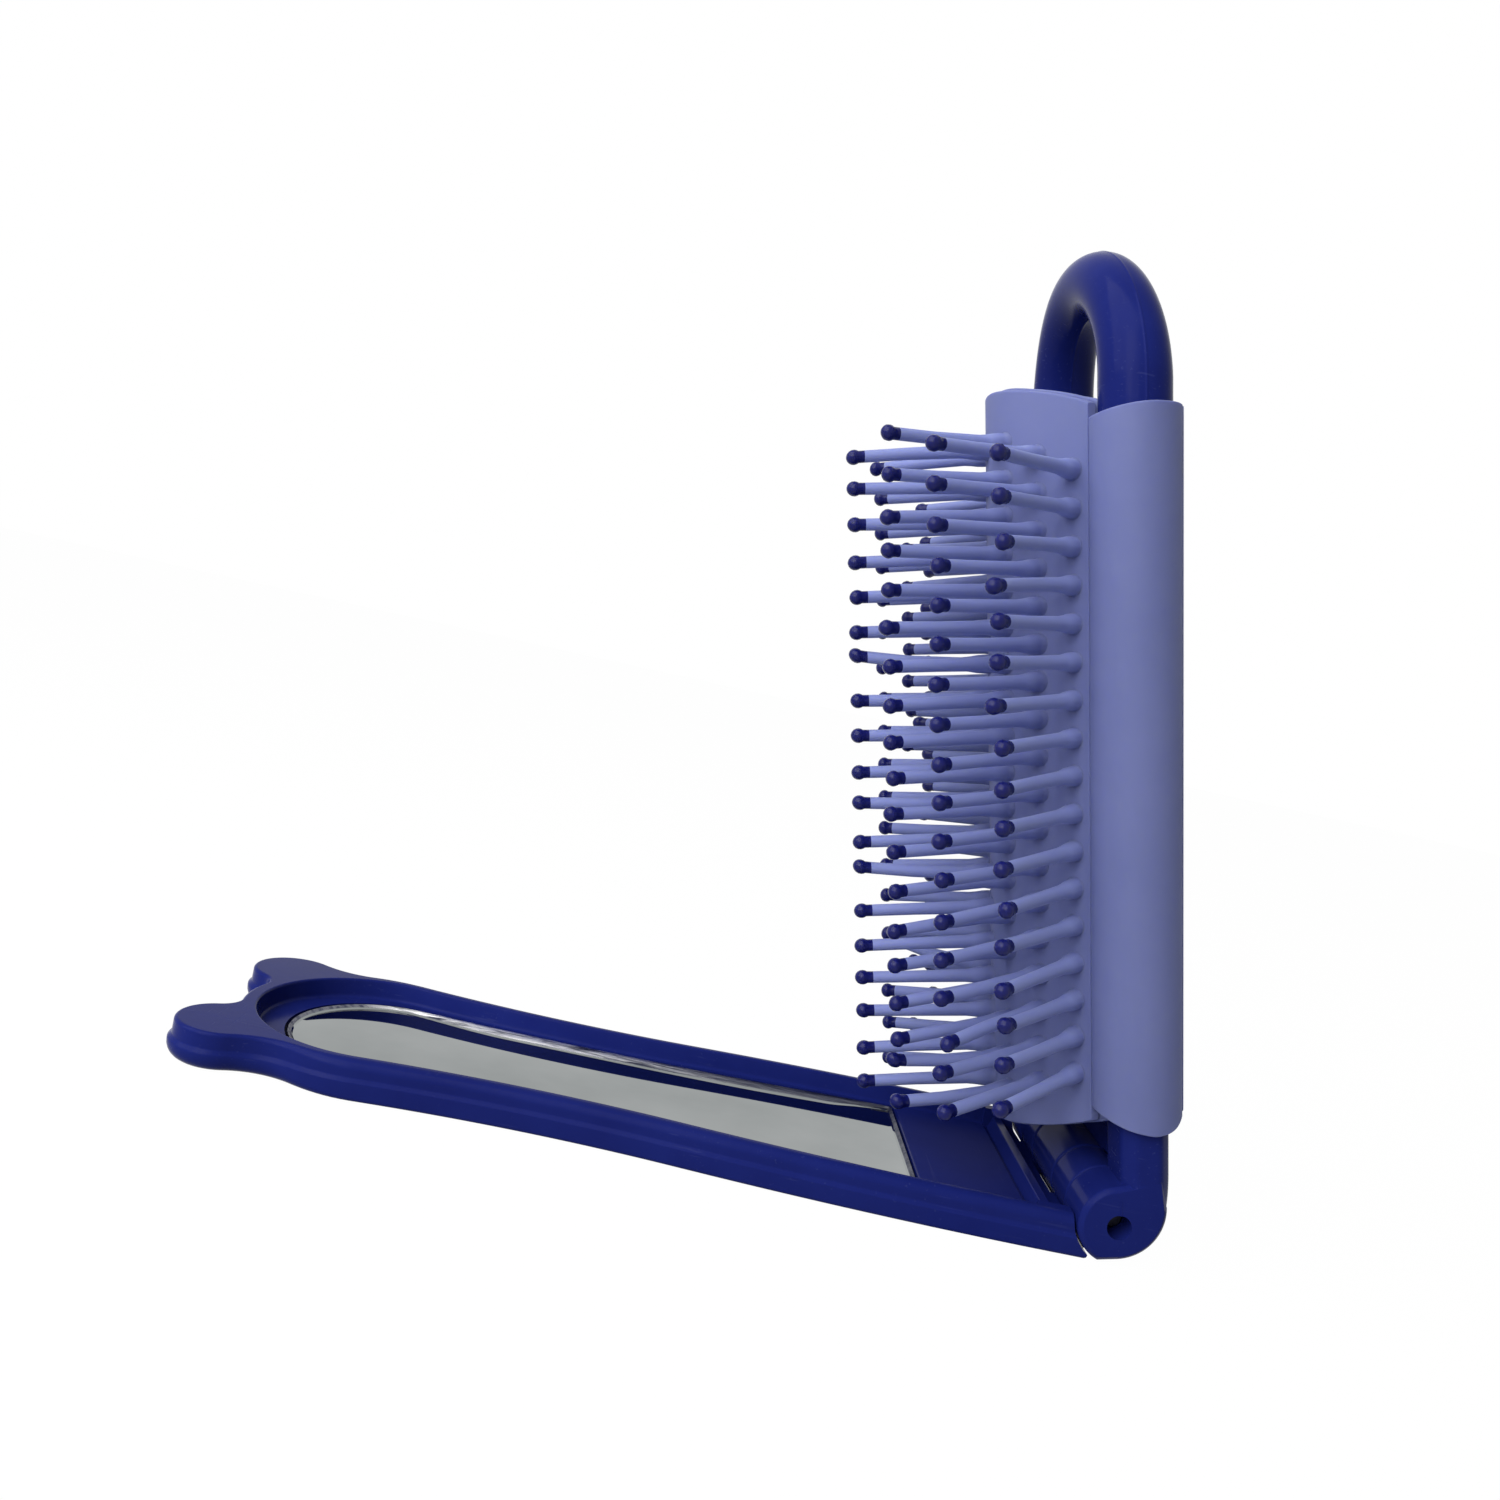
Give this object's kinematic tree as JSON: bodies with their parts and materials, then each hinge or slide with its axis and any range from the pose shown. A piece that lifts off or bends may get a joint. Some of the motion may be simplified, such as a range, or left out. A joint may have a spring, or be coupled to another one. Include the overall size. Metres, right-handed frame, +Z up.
{
  "type": "pocket mirror comb",
  "caption": "Folding pocket hair brush with ball-tipped pins on an arched soft pad, hinged to an eared mirror case, with a finger loop.",
  "frame": {"origin": "on the flat underside of the mirror case, on the middle line, 50 mm from the hinge axis", "axes": "+X along the case towards the hinge, +Y along the hinge pin towards the far side in the picture, +Z up from the underside towards the mirror side"},
  "size_m": [0.1072, 0.0452, 0.1058],
  "materials": {
    "blue_plastic": "glossy dark blue",
    "lilac_rubber": "satin lilac, pin ends dipped dark blue",
    "mirror": "polished",
    "adhesive": "matt",
    "steel": "drawn"
  },
  "bodies": {
    "case": {"mirror_case": "blue_plastic", "mirror_plate": "mirror", "mirror_adhesive": "adhesive", "hinge_pin": "steel"},
    "brush": {"brush_frame": "blue_plastic", "bristle_sleeve": "lilac_rubber", "pin_pad_middle": "lilac_rubber", "pin_pad_far": "lilac_rubber", "pin_pad_near": "lilac_rubber"}
  },
  "joints": [
    {"name": "fold", "type": "hinge", "parent": "case", "child": "brush", "pos_m": [0.05, 0, 0.0043], "axis": [0, 1, 0], "range_deg": [-12, 103]}
  ]
}
